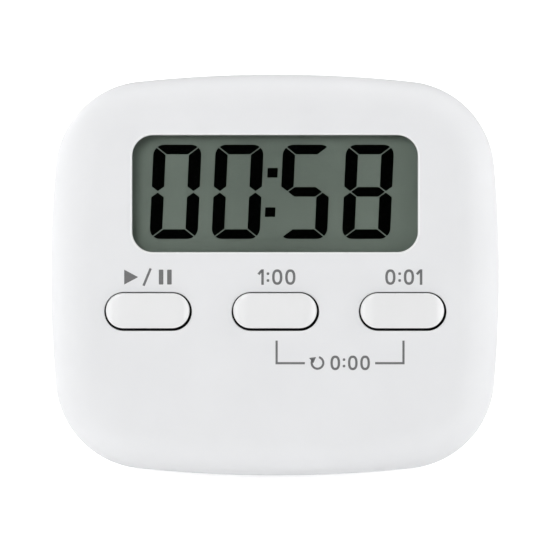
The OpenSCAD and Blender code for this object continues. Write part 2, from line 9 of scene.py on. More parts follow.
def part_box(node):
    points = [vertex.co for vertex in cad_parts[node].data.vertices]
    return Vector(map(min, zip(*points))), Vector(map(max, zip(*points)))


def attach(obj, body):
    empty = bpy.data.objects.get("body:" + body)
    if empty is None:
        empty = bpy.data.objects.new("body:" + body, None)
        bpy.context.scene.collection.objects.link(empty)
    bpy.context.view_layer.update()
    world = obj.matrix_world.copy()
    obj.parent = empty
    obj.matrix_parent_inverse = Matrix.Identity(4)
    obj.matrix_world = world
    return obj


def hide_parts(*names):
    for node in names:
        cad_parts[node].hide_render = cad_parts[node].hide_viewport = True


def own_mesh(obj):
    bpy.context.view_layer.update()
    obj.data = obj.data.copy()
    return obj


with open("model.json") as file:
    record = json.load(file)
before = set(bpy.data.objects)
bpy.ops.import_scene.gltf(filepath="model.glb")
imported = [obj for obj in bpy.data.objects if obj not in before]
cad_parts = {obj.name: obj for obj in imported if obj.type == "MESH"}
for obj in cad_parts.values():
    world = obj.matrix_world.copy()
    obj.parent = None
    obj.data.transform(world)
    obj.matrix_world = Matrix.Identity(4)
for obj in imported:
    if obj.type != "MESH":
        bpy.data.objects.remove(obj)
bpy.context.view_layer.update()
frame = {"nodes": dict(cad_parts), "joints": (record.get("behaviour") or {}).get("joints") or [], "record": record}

# ---------------------------------------------------------------- sizes
# Pieces are drawn in millimetres in the bench frame: X right, Y from the front face to
# the back face, Z up, with the middle of the front face at the origin.

MM = 0.001
LAP = 0.05  # how far an added solid reaches into the wall it stands on

# The case: its outline, the radii of the outline's arcs, the rounding of its front and back
# edges, its walls, and the level and depth of the groove between its two shells.
WIDTH, HEIGHT, DEPTH = 76.0, 68.0, 17.0
TOP_R, SIDE_R, CORNER_R = 220.0, 206.0, 15.6
FRONT_IN, FRONT_DEEP, REAR_EDGE = 7.0, 6.5, 3.2
WALL, SIDE_WALL = 1.6, 1.8
PARTING, GROOVE = 8.5, 0.25
# The back wall's inner face, and the thicker border that the stand folds into.
REAR_IN, STEP, RIM_IN = 15.4, 12.4, 8.5

# The display window, the middle of the lens behind it, and the rounding of the window's lip.
WINDOW_W, WINDOW_H, WINDOW_R, WINDOW_Z = 48.1, 19.7, 3.5, 13.7
LENS_Z, LENS_Y, LIP_R = 13.8, 2.1, 0.3

# The buttons, and how far each hole lies off its button's middle.
CAP_L, CAP_H, CAP_GAP, CAP_PROUD = 14.1, 5.9, 0.3, 0.9
CAP_STRAIGHT = (CAP_L - CAP_H) / 2
BUTTON_Z, HOLE_SHIFT = -6.0, (0.07, -0.14)
BUTTONS = {"start": -21.4, "minute": 0.0, "second": 21.4}
MAT_FRONT, DOME_TOP = 6.3, 4.7

# Screws as (x, z), where the board begins, and the depth and size of the screws' heads.
CASE_SCREWS = [(-30.3, 19.0), (30.3, 19.0), (-28.3, -15.5), (28.3, -15.5)]
BOARD_SCREWS = [(-10.7, -8.6), (10.7, -8.6), (-14.0, 28.6), (14.0, 28.6)]
CASE_HEAD_Y, BOARD_FRONT, BOARD_HEAD_Y, HEAD_R = 13.4, 7.4, 8.4, 1.6

# The magnets and the middle of the buzzer, as (x, z).
MAGNETS, MAGNET_R, MAGNET_T = [(-20.0, 14.0), (20.0, 14.0)], 6.0, 2.0
BUZZER = (0.0, 14.0)

# The cell, its bay and its door. DOOR_Y and DOOR_Z are the hinge's axis.
CELL_Y, CELL_Z, CELL_R, CELL_X, CELL_END = 9.55, -18.0, 5.25, -21.4, 22.1
BAY_X, BAY_LOW, BAY_TOP = 24.2, -23.5, -12.5
DOOR_T, DOOR_X, DOOR_LOW, DOOR_GAP = 2.0, 24.3, -23.7, 0.3
DOOR_Y, DOOR_Z = 16.0, -12.1

# The fold-out stand. STAND_Y and STAND_Z are the hinge's axis.
STAND_T, STAND_Y, STAND_Z, STAND_LOW = 2.6, 15.7, -1.0, -29.4
STAND_OUT, STAND_IN = 34.2, 31.2
STAND_OPEN = math.radians(40)

# ---------------------------------------------------------------- the bench frame
# `bench` puts a piece in the row frame, where the timer leans back on its open stand, and
# `opened` does the same for the stand, which is drawn folded in.
press = next(j for j in frame["joints"] if j["name"] == "minute_press")
press_axis = Vector(press["axis"])
lean = math.atan2(-press_axis.z, press_axis.y)
lens_low, lens_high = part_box("display_lens")
lens_middle = Vector((0, LENS_Y, LENS_Z)) * MM
turn = Matrix.Rotation(-lean, 4, "X")
shift = Matrix.Translation((lens_low + lens_high) / 2 - turn @ lens_middle)
bench = shift @ turn @ Matrix.Scale(MM, 4)
hinge = Vector((0, STAND_Y, STAND_Z))
opened = (bench @ Matrix.Translation(hinge) @ Matrix.Rotation(STAND_OPEN, 4, "X")
          @ Matrix.Translation(-hinge))


# ---------------------------------------------------------------- outlines
def arc(centre, r, start, end, steps, last=0):
    """Points on an arc. The last point is there only when last is 1."""
    angles = [start + (end - start) * i / steps for i in range(steps + last)]
    return [(centre[0] + r * math.cos(a), centre[1] + r * math.sin(a)) for a in angles]


def four_fold(q):
    """Mirrors the first quarter of an outline into all four."""
    m = len(q) - 1
    return (q[:m] + [(-x, z) for x, z in q[m:0:-1]]
            + [(-x, -z) for x, z in q[:m]] + [(x, -z) for x, z in q[m:0:-1]])


def shifted(outline, dx, dz):
    return [(x + dx, z + dz) for x, z in outline]


def corner_centre():
    """Centre of the corner arc that meets the crowned top and side smoothly."""
    top, side = Vector((0, HEIGHT / 2 - TOP_R)), Vector((WIDTH / 2 - SIDE_R, 0))
    a, b = TOP_R - CORNER_R, SIDE_R - CORNER_R
    between = side - top
    gap = between.length
    along = (a * a - b * b + gap * gap) / (2 * gap)
    way = between / gap
    return top + along * way + math.sqrt(a * a - along * along) * Vector((way.y, -way.x))


TOP_C, SIDE_C = (0.0, HEIGHT / 2 - TOP_R), (WIDTH / 2 - SIDE_R, 0.0)
CORNER_C = tuple(corner_centre())
SIDE_A = math.atan2(CORNER_C[1] - SIDE_C[1], CORNER_C[0] - SIDE_C[0])
TOP_A = math.atan2(CORNER_C[1] - TOP_C[1], CORNER_C[0] - TOP_C[0])


def quarter(d, steps=(6, 22, 8)):
    """A quarter of the case's outline, moved in by d: side, corner and top."""
    return (arc(SIDE_C, SIDE_R - d, 0, SIDE_A, steps[0])
            + arc(CORNER_C, CORNER_R - d, SIDE_A, TOP_A, steps[1])
            + arc(TOP_C, TOP_R - d, TOP_A, math.pi / 2, steps[2], 1))


def case_outline(d):
    return four_fold(quarter(d))


def rounded(w, h, r, steps=10):
    """A rectangle with round corners."""
    corner = arc((w / 2 - r, h / 2 - r), r, 0, math.pi / 2, steps, 1)
    return four_fold([(w / 2, 0.0)] + corner + [(0.0, h / 2)])


def window_outline(d):
    """The display window's outline, moved out by d."""
    return shifted(rounded(WINDOW_W + 2 * d, WINDOW_H + 2 * d, WINDOW_R + d, 14), 0.0, WINDOW_Z)


def button_outline(d, at=0.0, low=BUTTON_Z):
    """A button's outline, moved in by d."""
    r = CAP_H / 2 - d
    q = arc((CAP_STRAIGHT, 0.0), r, 0, math.pi / 2, 16, 1) + [(0.0, r)]
    return shifted(four_fold(q), at, low)


def hole_outline(d, at):
    """A button hole's outline, moved out by d."""
    return button_outline(-CAP_GAP - d, at + HOLE_SHIFT[0], BUTTON_Z + HOLE_SHIFT[1])


def circle(at, r, n=40):
    turns = [2 * math.pi * i / n for i in range(n)]
    return [(at[0] + r * math.cos(a), at[1] + r * math.sin(a)) for a in turns]


def both_sides(near, far):
    """The X ranges from near to far on the left and on the right."""
    return [(-far, -near), (near, far)]


def rounding(count):
    """(sine, cosine) pairs at count even steps from 0 to 90 degrees."""
    angles = [math.radians(90 * i / (count - 1)) for i in range(count)]
    return [(math.sin(t), math.cos(t)) for t in angles]


def lower_half(d, top):
    """The case's outline below a height, moved in by d, from its right side to its left."""
    side = SIDE_C[0] + math.sqrt((SIDE_R - d) ** 2 - top ** 2)
    q = quarter(d)
    m = len(q) - 1
    below = [(x, -z) for x, z in q[:m]] + [(-x, -z) for x, z in q[m:0:-1]] + [(-q[0][0], 0.0)]
    return [(side, top)] + below + [(-side, top)]


# ---------------------------------------------------------------- solids
class Shape:
    """A closed mesh under construction, in bench millimetres."""

    def __init__(self):
        self.points, self.faces = [], []

    def loft(self, rings, loop=False):
        """Joins rings of equal length with quads. The ends are capped, or joined by loop."""
        base, n, count = len(self.points), len(rings[0]), len(rings)
        for ring in rings:
            self.points += [tuple(p) for p in ring]
        for k in range(count if loop else count - 1):
            a, b = base + k * n, base + (k + 1) % count * n
            for i in range(n):
                j = (i + 1) % n
                self.faces.append((a + i, a + j, b + j, b + i))
        if not loop:
            self.faces.append(tuple(base + i for i in reversed(range(n))))
            self.faces.append(tuple(base + (count - 1) * n + i for i in range(n)))
        return self

    def skin(self, layers):
        """Lofts (outline, depth) pairs that lie one behind another."""
        return self.loft([[(x, y, z) for x, z in outline] for outline, y in layers])

    def hollow(self, outer, inner, y0, y1):
        """A wall between two outlines, open at both ends."""
        layers = [(outer, y0), (outer, y1), (inner, y1), (inner, y0)]
        return self.loft([[(x, y, z) for x, z in o] for o, y in layers], loop=True)

    def block(self, low, high):
        (x0, y0, z0), (x1, y1, z1) = low, high
        square = [(x0, z0), (x1, z0), (x1, z1), (x0, z1)]
        return self.skin([(square, y0), (square, y1)])

    def lathe(self, at, profile, n=48, along="Y"):
        """Turns (distance along, radius) pairs round an axis through at."""
        rings = []
        for s, r in profile:
            ring = circle((0.0, 0.0), r, n)
            if along == "Y":
                rings.append([(at[0] + u, at[1] + s, at[2] + v) for u, v in ring])
            else:
                rings.append([(at[0] + s, at[1] + u, at[2] + v) for u, v in ring])
        return self.loft(rings)

    def peg(self, at, r, y0, y1, n=40):
        """A round bar along Y."""
        return self.lathe((at[0], 0.0, at[1]), [(y0, r), (y1, r)], n)

    def axle(self, y, z, r, x0, x1, n=32):
        """A round bar along X."""
        return self.lathe((0.0, y, z), [(x0, r), (x1, r)], n, "X")

    def tube(self, route, r, n=12, side=(1, 0, 0)):
        """A round wire along a route that never runs along side."""
        route = [Vector(p) for p in route]
        rings = []
        for i, p in enumerate(route):
            way = (route[min(i + 1, len(route) - 1)] - route[max(i - 1, 0)]).normalized()
            u = way.cross(Vector(side)).normalized()
            v = way.cross(u)
            turns = [2 * math.pi * k / n for k in range(n)]
            rings.append([p + r * (math.cos(a) * u + math.sin(a) * v) for a in turns])
        return self.loft(rings)

    def add(self, other):
        base = len(self.points)
        self.points += other.points
        self.faces += [tuple(base + i for i in f) for f in other.faces]
        return self

    def mesh(self):
        made = bpy.data.meshes.new("shape")
        made.from_pydata(self.points, [], self.faces)
        bm = bmesh.new()
        bm.from_mesh(made)
        bmesh.ops.recalc_face_normals(bm, faces=bm.faces)
        bm.to_mesh(made)
        bm.free()
        return made


def mouth(outline, y, way, r, depth):
    """A cutter through a face at depth y that leaves a rounded lip of radius r.

    outline(d) gives the hole's outline moved out by d. way is +1 where the hole goes
    towards +Y and -1 where it goes towards -Y. depth is how deep it goes."""
    reach = 1.0  # how far it stands out of the face
    layers = [(outline(0.0), y + way * depth)]
    for t in (0, 18, 36, 54, 72):
        a = math.radians(t)
        out, down = r * (1 - math.cos(a)), r * (1 - math.sin(a))
        layers.append((outline(out), y + way * down))
    # The last chord of the lip runs on past the face, so that no thin edge is left.
    out += 1.5 * r * math.cos(a)
    past = y + way * down - way * 1.5 * down
    layers += [(outline(out), past), (outline(out), y - way * reach)]
    return Shape().skin(layers)


def combine(base, steps):
    """Unions (+) and cuts (-) solids in turn, and returns the mesh that is left."""
    def temporary(shape):
        made = bpy.data.objects.new("temporary", shape.mesh())
        bpy.context.scene.collection.objects.link(made)
        return made

    root = temporary(base)
    tools = []
    for sign, shape in steps:
        tool = temporary(shape)
        tools.append(tool)
        mod = root.modifiers.new("step", "BOOLEAN")
        mod.object = tool
        mod.operation = "UNION" if sign == "+" else "DIFFERENCE"
        mod.solver = "MANIFOLD"
    bpy.context.view_layer.update()
    graph = bpy.context.evaluated_depsgraph_get()
    made = bpy.data.meshes.new_from_object(root.evaluated_get(graph))
    for o in [root] + tools:
        data = o.data
        bpy.data.objects.remove(o)
        bpy.data.meshes.remove(data)
    return made


# ---------------------------------------------------------------- materials
PATCHES = (0.3, 0.7)  # the part of its range that most of a noise falls in


def add_node(tree, kind, *inputs, **settings):
    """Adds a shader node. inputs are (input, value or socket) pairs."""
    node = tree.nodes.new("ShaderNode" + kind)
    for key, value in settings.items():
        setattr(node, key, value)
    for key, value in inputs:
        if isinstance(value, bpy.types.NodeSocket):
            tree.links.new(value, node.inputs[key])
        else:
            node.inputs[key].default_value = value
    return node


def map_range(tree, source, low, high, start=0.0, end=1.0):
    """Maps start to end onto low to high."""
    node = add_node(tree, "MapRange", ("Value", source), ("From Min", start), ("From Max", end),
                    ("To Min", low), ("To Max", high))
    return node.outputs["Result"]


class Finish:
    """A procedural material on one Principled shader, worked out in object space."""

    def __init__(self, name, colour, rough, metallic=0.0, **plain):
        self.material = bpy.data.materials.new(name)
        self.material.use_nodes = True
        self.tree = self.material.node_tree
        self.shader = self.tree.nodes["Principled BSDF"]
        self.coords = add_node(self.tree, "TexCoord").outputs["Object"]
        self.colour = tuple(colour) + (1.0,)
        self.shader.inputs["Base Color"].default_value = self.colour
        self.shader.inputs["Roughness"].default_value = rough
        self.shader.inputs["Metallic"].default_value = metallic
        for key, value in plain.items():
            self.shader.inputs[key.replace("_", " ")].default_value = value
        self.rough = rough
        self.last_normal = None

    def noise(self, size_mm, detail=3.0, stretch=(1, 1, 1), kind="NOISE"):
        """Noise whose blobs are about size_mm across, or a Voronoi feature of that size."""
        mapping = add_node(self.tree, "Mapping", ("Vector", self.coords),
                           ("Scale", [s / (size_mm * MM) for s in stretch]))
        inputs = [("Vector", mapping.outputs["Vector"]), ("Scale", 1.0)]
        if kind == "NOISE":
            return add_node(self.tree, "TexNoise", ("Detail", detail), *inputs).outputs["Fac"]
        return add_node(self.tree, "TexVoronoi", *inputs, feature=kind).outputs["Distance"]

    def mixed(self, factor, first, second, blend="MIX"):
        node = add_node(self.tree, "Mix", (0, factor), (6, first), (7, second), data_type="RGBA",
                        blend_type=blend)
        return node.outputs[2]

    def paint(self, source):
        self.tree.links.new(source, self.shader.inputs["Base Color"])
        return self

    def times(self, source):
        """Multiplies the painted colour by another."""
        painted = self.shader.inputs["Base Color"].links[0].from_socket
        return self.paint(self.mixed(1.0, painted, source, "MULTIPLY"))

    def mottle(self, amount, size_mm):
        """Slightly lighter and darker patches."""
        dark = tuple(c * (1 - amount) for c in self.colour[:3]) + (1.0,)
        light = tuple(min(1.0, c * (1 + amount)) for c in self.colour[:3]) + (1.0,)
        share = map_range(self.tree, self.noise(size_mm), 0, 1, *PATCHES)
        return self.paint(self.mixed(share, dark, light))

    def worn(self, spread, size_mm, stretch=(1, 1, 1)):
        """Roughness that varies by spread either way."""
        source = self.noise(size_mm, 4.0, stretch)
        varied = map_range(self.tree, source, max(0.0, self.rough - spread), self.rough + spread,
                           *PATCHES)
        self.tree.links.new(varied, self.shader.inputs["Roughness"])
        return self

    def bump(self, height_um, size_mm, detail=2.0, stretch=(1, 1, 1), kind="NOISE"):
        """Adds a layer of fine relief over the layers added before it."""
        node = add_node(self.tree, "Bump", ("Strength", 1.0), ("Distance", height_um * 1e-6),
                        ("Height", self.noise(size_mm, detail, stretch, kind)))
        if self.last_normal is not None:
            self.tree.links.new(self.last_normal, node.inputs["Normal"])
        self.last_normal = node.outputs["Normal"]
        self.tree.links.new(self.last_normal, self.shader.inputs["Normal"])
        return self


def axis_ramp(finish, direction, origin, stops):
    """A colour ramp along a row-frame direction. stops are (distance in mm, colour)."""
    tree = finish.tree
    offset = add_node(tree, "VectorMath", (0, finish.coords), (1, origin), operation="SUBTRACT")
    dot = add_node(tree, "VectorMath", (0, offset.outputs[0]), (1, direction),
                   operation="DOT_PRODUCT")
    low, high = stops[0][0], stops[-1][0]
    share = map_range(tree, dot.outputs["Value"], 0, 1, low * MM, high * MM)
    ramp = add_node(tree, "ValToRGB", ("Fac", share))
    marks = ramp.color_ramp.elements
    while len(marks) < len(stops):
        marks.new(0.5)
    for mark, (s, colour) in zip(marks, stops):
        mark.position = (s - low) / (high - low)
        mark.color = tuple(colour) + (1.0,)
    return ramp.outputs["Color"]


def moulded(name, colour, rough, grain_um, **plain):
    """Injection-moulded plastic with a fine spark-eroded grain and a faint flow mottle."""
    return (Finish(name, colour, rough, **plain).mottle(0.012, 9.0).worn(0.05, 2.5)
            .bump(grain_um, 0.16).bump(grain_um * 2, 3.0))


def brushed(name, colour, rough, stretch=(0.03, 1, 1), **plain):
    """Bare metal with fine lines along the stretched direction."""
    return (Finish(name, colour, rough, 1.0, **plain).mottle(0.06, 3.0)
            .worn(0.08, 0.12, stretch).bump(1.2, 0.1, 2.0, stretch))


FINISH = {
    "case_white": moulded("case plastic", (0.751, 0.756, 0.767), 0.56, 1.2, IOR=1.46),
    "stand_white": moulded("stand plastic", (0.734, 0.738, 0.747), 0.40, 1.2, IOR=1.5),
    "button_white": moulded("button plastic", (0.785, 0.787, 0.790), 0.5, 0.4, IOR=1.46,
                            Coat_Weight=1.0, Coat_Roughness=0.2),
    "black_tape": Finish("foam tape", (0.015, 0.015, 0.016), 0.85).mottle(0.3, 0.6).bump(12, 0.2),
    "lit_segment": Finish("lit segment", (0.0007, 0.0009, 0.0008), 0.6, Specular_IOR_Level=0.0)
    .mottle(0.2, 2.0).worn(0.05, 1.0),
    "epoxy_seal": Finish("seal", (0.05, 0.05, 0.045), 0.4).mottle(0.15, 0.8).bump(6, 0.4),
    "frame_white": moulded("display frame", (0.75, 0.75, 0.74), 0.5, 2.0),
    "zebra_rubber": Finish("zebra rubber", (0.5, 0.22, 0.2), 0.7).bump(8, 0.2),
    "board_green": Finish("solder mask", (0.01, 0.12, 0.04), 0.35, Coat_Weight=0.3),
    "pad_gold": brushed("gold pads", (0.95, 0.66, 0.25), 0.28),
    "chip_epoxy": Finish("chip epoxy", (0.012, 0.012, 0.013), 0.22).mottle(0.3, 1.0).bump(9, 0.7),
    "bright_metal": brushed("bright metal", (0.80, 0.80, 0.79), 0.24),
    "capacitor_tan": Finish("capacitor body", (0.45, 0.28, 0.14), 0.45).mottle(0.12, 0.5).bump(4, 0.2),
    "ferrite": Finish("ferrite", (0.035, 0.036, 0.038), 0.55).mottle(0.3, 0.4).bump(8, 0.15),
    "solder": Finish("solder", (0.72, 0.73, 0.74), 0.25, 1.0)
    .mottle(0.08, 0.6).bump(7, 0.5).worn(0.08, 0.4),
    "screw_steel": brushed("zinc plated steel", (0.66, 0.67, 0.68), 0.3, (1, 1, 1)),
    "silicone_grey": Finish("silicone", (0.32, 0.33, 0.34), 0.55, Subsurface_Weight=0.1)
    .mottle(0.06, 1.5).bump(4, 0.3).worn(0.06, 1.0),
    "carbon_rubber": Finish("carbon rubber", (0.012, 0.012, 0.012), 0.7).mottle(0.3, 0.3).bump(5, 0.15),
    "magnet_nickel": Finish("nickel plate", (0.50, 0.495, 0.48), 0.2, 1.0).mottle(0.03, 5.0)
    .worn(0.04, 2.0).bump(0.12, 0.6),
    "piezo_brass": brushed("brass disc", (0.82, 0.60, 0.24), 0.3),
    "piezo_ceramic": Finish("piezo ceramic", (0.62, 0.58, 0.48), 0.5).mottle(0.06, 1.2).bump(4, 0.3),
    "wire_red": Finish("red insulation", (0.55, 0.02, 0.015), 0.38).mottle(0.1, 1.0).bump(3, 0.3),
    "wire_black": Finish("black insulation", (0.012, 0.012, 0.013), 0.38).mottle(0.2, 1.0).bump(3, 0.3),
    "contact_nickel": brushed("nickel spring", (0.74, 0.73, 0.70), 0.26),
    # The window's lip: glossier plastic, and a paler colour than the case that is a painted highlight.
    "glossy_lip_painted_highlight": moulded("glossy lip with painted highlight", (0.84, 0.842, 0.846), 0.3, 0.3, IOR=1.46),
    "gap_shade": Finish("shaded gap", (0.02, 0.02, 0.021), 0.7, Specular_IOR_Level=0.1)
    .mottle(0.2, 0.8).bump(2, 0.3),
}


def clear_layer(name, tint, rough, share):
    """A layer that passes light straight through and mirrors a little of it.

    share is how much of the light it mirrors head on."""
    made = Finish(name, (1, 1, 1), rough)
    tree = made.tree
    through = add_node(tree, "BsdfTransparent", ("Color", tuple(tint) + (1.0,)))
    mirror = add_node(tree, "BsdfGlossy", ("Roughness", rough))
    weight = add_node(tree, "LayerWeight", ("Blend", share))
    haze = map_range(tree, made.noise(6.0), 0.97, 1.0, *PATCHES)
    facing = add_node(tree, "Math", (0, weight.outputs["Fresnel"]), (1, haze), operation="MULTIPLY")
    mix = add_node(tree, "MixShader", (0, facing.outputs[0]), (1, through.outputs[0]),
                   (2, mirror.outputs[0]))
    tree.links.new(mix.outputs[0], tree.nodes["Material Output"].inputs["Surface"])
    tree.nodes.remove(made.shader)
    return made


FINISH["clear_acrylic"] = clear_layer("clear acrylic", (0.985, 0.99, 0.985), 0.05, 0.06)
FINISH["polariser_film"] = clear_layer("polariser", (0.93, 0.95, 0.93), 0.25, 0.03)
FINISH["lcd_glass"] = clear_layer("display glass", (0.97, 0.985, 0.97), 0.05, 0.03)
FINISH["lcd_reflector"] = reflector = Finish("reflector", (0.270, 0.2825, 0.280), 0.6,
                                             Specular_IOR_Level=0.1)
reflector.mottle(0.02, 5.0).bump(2.0, 0.12).worn(0.05, 1.0)


def greys(*stops):
    """Grey stops for axis_ramp, from (distance in mm, value) pairs."""
    return [(s, (value, value, value)) for s, value in stops]


# The reflector's colour is painted paler towards the window's ends and lower edge: painted light against the shade
# that the window's walls cast there.
painted_light_across = greys((-24.0, 1.0), (-12.0, 0.86), (0.0, 0.80), (12.0, 0.86), (24.0, 1.0))
painted_light_upwards = greys((-9.8, 1.0), (-5.0, 0.97), (1.0, 0.88), (9.8, 0.86))
reflector.times(axis_ramp(reflector, (1, 0, 0), (0, 0, 0), painted_light_across))
reflector.times(axis_ramp(reflector, tuple(turn @ Vector((0, 0, 1))),
                          tuple(bench @ Vector((0, 0, WINDOW_Z))), painted_light_upwards))

# Copper tracks show through the board's mask as paler lines.
board = FINISH["board_green"]
tracks = map_range(board.tree, board.noise(1.6, kind="DISTANCE_TO_EDGE"), 0, 1, 0.03, 0.06)
board.paint(board.mixed(tracks, (0.03, 0.22, 0.08, 1.0), board.colour))
board.bump(6, 1.6, kind="DISTANCE_TO_EDGE")

# The zebra strip is pink rubber with a black core of carbon layers.
pink, black = (0.5, 0.22, 0.2), (0.03, 0.03, 0.03)
zebra = FINISH["zebra_rubber"]
zebra.paint(axis_ramp(zebra, (0, 0, 1), tuple(bench @ Vector((0, 5.5, 2.5))), [
    (0.0, pink), (0.6, pink), (0.75, black), (1.0, black), (1.15, pink), (1.9, pink)]))

# The cell's sleeve has bands of colour between bare ends.
bare, blue = (0.62, 0.62, 0.60), (0.035, 0.075, 0.15)
silver, orange = (0.75, 0.76, 0.77), (0.80, 0.36, 0.08)
cell = FINISH["cell_sleeve"] = Finish("cell sleeve", (0.04, 0.09, 0.16), 0.3, 0.35, Coat_Weight=0.4)
cell.paint(axis_ramp(cell, (1, 0, 0), (0, 0, 0), [
    (CELL_X, bare), (-20.6, bare), (-20.5, blue), (9.0, blue), (9.15, silver), (10.6, silver),
    (10.75, orange), (21.2, orange), (21.35, bare), (CELL_END, bare)])).worn(0.06, 2.0).bump(3, 0.8)


# ---------------------------------------------------------------- pieces
slot_of = {s["node"]: s["material_slot"] for s in frame["record"]["subparts"]}
WELD = 0.0004  # points closer than this are one


def piece(name, mesh, body, *nodes, place=bench, sharp=34.0, flat_foot=False, zones=()):
    """Puts a bench mesh in the row frame, shades it, hangs it on its body and hides the CAD parts it stands in
    for.

    Edges that turn by more than sharp degrees stay crisp. zones are (finish, test) pairs: a
    face whose middle passes the test takes that finish."""
    if isinstance(mesh, Shape):
        mesh = mesh.mesh()
    slot = slot_of[nodes[0]]
    bm = bmesh.new()
    bm.from_mesh(mesh)
    bmesh.ops.remove_doubles(bm, verts=bm.verts, dist=WELD)
    bmesh.ops.dissolve_degenerate(bm, edges=bm.edges, dist=WELD)
    bmesh.ops.recalc_face_normals(bm, faces=bm.faces)
    for f in bm.faces:
        f.smooth = True
        f.material_index = 0
        for k, (_, test) in enumerate(zones):
            if test(f.calc_center_median()):
                f.material_index = k + 1
    bm.transform(place)
    if flat_foot:
        for v in bm.verts:
            v.co.z = max(v.co.z, 0.0)
    limit = math.radians(sharp)
    for e in bm.edges:
        e.smooth = len(e.link_faces) != 2 or e.calc_face_angle(0.0) < limit
    mesh.materials.clear()
    for finish in [slot] + [z[0] for z in zones]:
        mesh.materials.append(FINISH[finish].material)
    bm.to_mesh(mesh)
    bm.free()
    mesh.name = name
    made = bpy.data.objects.new(name, mesh)
    bpy.context.scene.collection.objects.link(made)
    normals = made.modifiers.new("normals", "WEIGHTED_NORMAL")
    normals.keep_sharp = True
    normals.weight = 50
    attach(made, body)
    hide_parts(*nodes)
    return made


def front_shell():
    inner_in, root = 5.6, WALL - LAP
    layers = [(case_outline(FRONT_IN * (1 - s)), FRONT_DEEP * (1 - c)) for s, c in rounding(25)]
    layers += [(case_outline(0.0), PARTING - GROOVE), (case_outline(GROOVE), PARTING),
               (case_outline(SIDE_WALL), PARTING)]
    layers += [(case_outline(SIDE_WALL + inner_in * (1 - s)), FRONT_DEEP - (FRONT_DEEP - WALL) * c)
               for s, c in reversed(rounding(11))]
    case_boss_r, case_boss_end, case_bore, case_bore_floor = 2.2, 11.4, 1.05, 4.6
    board_boss_r, board_bore, board_bore_floor = 1.7, 0.85, 3.0
    past = 1.0  # how far a bore runs on past its boss
    steps = [("+", Shape().peg(at, case_boss_r, root, case_boss_end)) for at in CASE_SCREWS]
    steps += [("+", Shape().peg(at, board_boss_r, root, BOARD_FRONT)) for at in BOARD_SCREWS]

    rim_end, guide_end, guide_out, guide_in = 4.4, 4.5, 2.05, 1.45
    rim_out, rim_in = [shifted(rounded(w, h, 0.4, 3), 0.0, LENS_Z)
                       for w, h in ((54.8, 26.6), (53.2, 25.0))]
    steps.append(("+", Shape().hollow(rim_out, rim_in, root, rim_end)))
    for x in BUTTONS.values():
        guide = Shape().hollow(button_outline(-guide_out, x), button_outline(-guide_in, x),
                               root, guide_end)
        steps.append(("+", guide))
        steps.append(("-", mouth(lambda d, x=x: hole_outline(d, x), 0.0, 1, 0.16, WALL + 1)))
    steps.append(("-", mouth(window_outline, 0.0, 1, LIP_R, WALL + 0.08)))
    steps += [("-", Shape().peg(at, case_bore, case_bore_floor, case_boss_end + past))
              for at in CASE_SCREWS]
    steps += [("-", Shape().peg(at, board_bore, board_bore_floor, BOARD_FRONT + past))
              for at in BOARD_SCREWS]
    return combine(Shape().skin(layers), steps)


